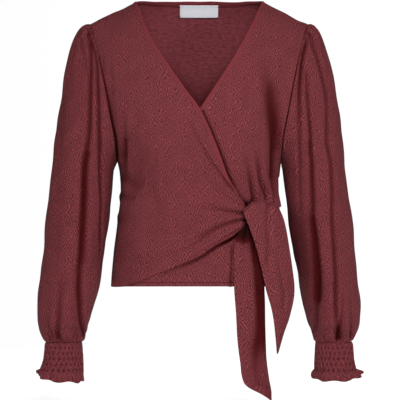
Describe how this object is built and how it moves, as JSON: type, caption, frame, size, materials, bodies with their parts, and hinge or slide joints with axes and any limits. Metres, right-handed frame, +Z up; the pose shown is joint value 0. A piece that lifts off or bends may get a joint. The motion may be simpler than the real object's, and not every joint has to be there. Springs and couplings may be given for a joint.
{
  "type": "wrap top",
  "caption": "Long-sleeved jersey wrap top with a V neck, a side tie knotted at the waist and gathered cuffs, filled out as worn.",
  "frame": {"origin": "midway between the two high shoulder points, where the top hangs on the wearer", "axes": "+Z up, the front faces -Y, +X towards the wearer's left sleeve"},
  "size_m": [0.564, 0.2183, 0.6786],
  "materials": {
    "jersey": "matt burgundy crinkle jersey with a fine zigzag relief",
    "jersey_edge": "matt turned edge of the same jersey",
    "label_satin": "plain white satin ribbon"
  },
  "bodies": {
    "root": {"back": "jersey", "front_over": "jersey", "front_under": "jersey", "sleeve_right": "jersey", "sleeve_left": "jersey", "cuff_right": "jersey", "cuff_left": "jersey", "knot": "jersey", "tie_wide": "jersey", "tie_long": "jersey", "neck_edge_over": "jersey_edge", "neck_edge_under": "jersey_edge", "neck_edge_back": "jersey_edge", "label": "label_satin"}
  },
  "joints": []
}
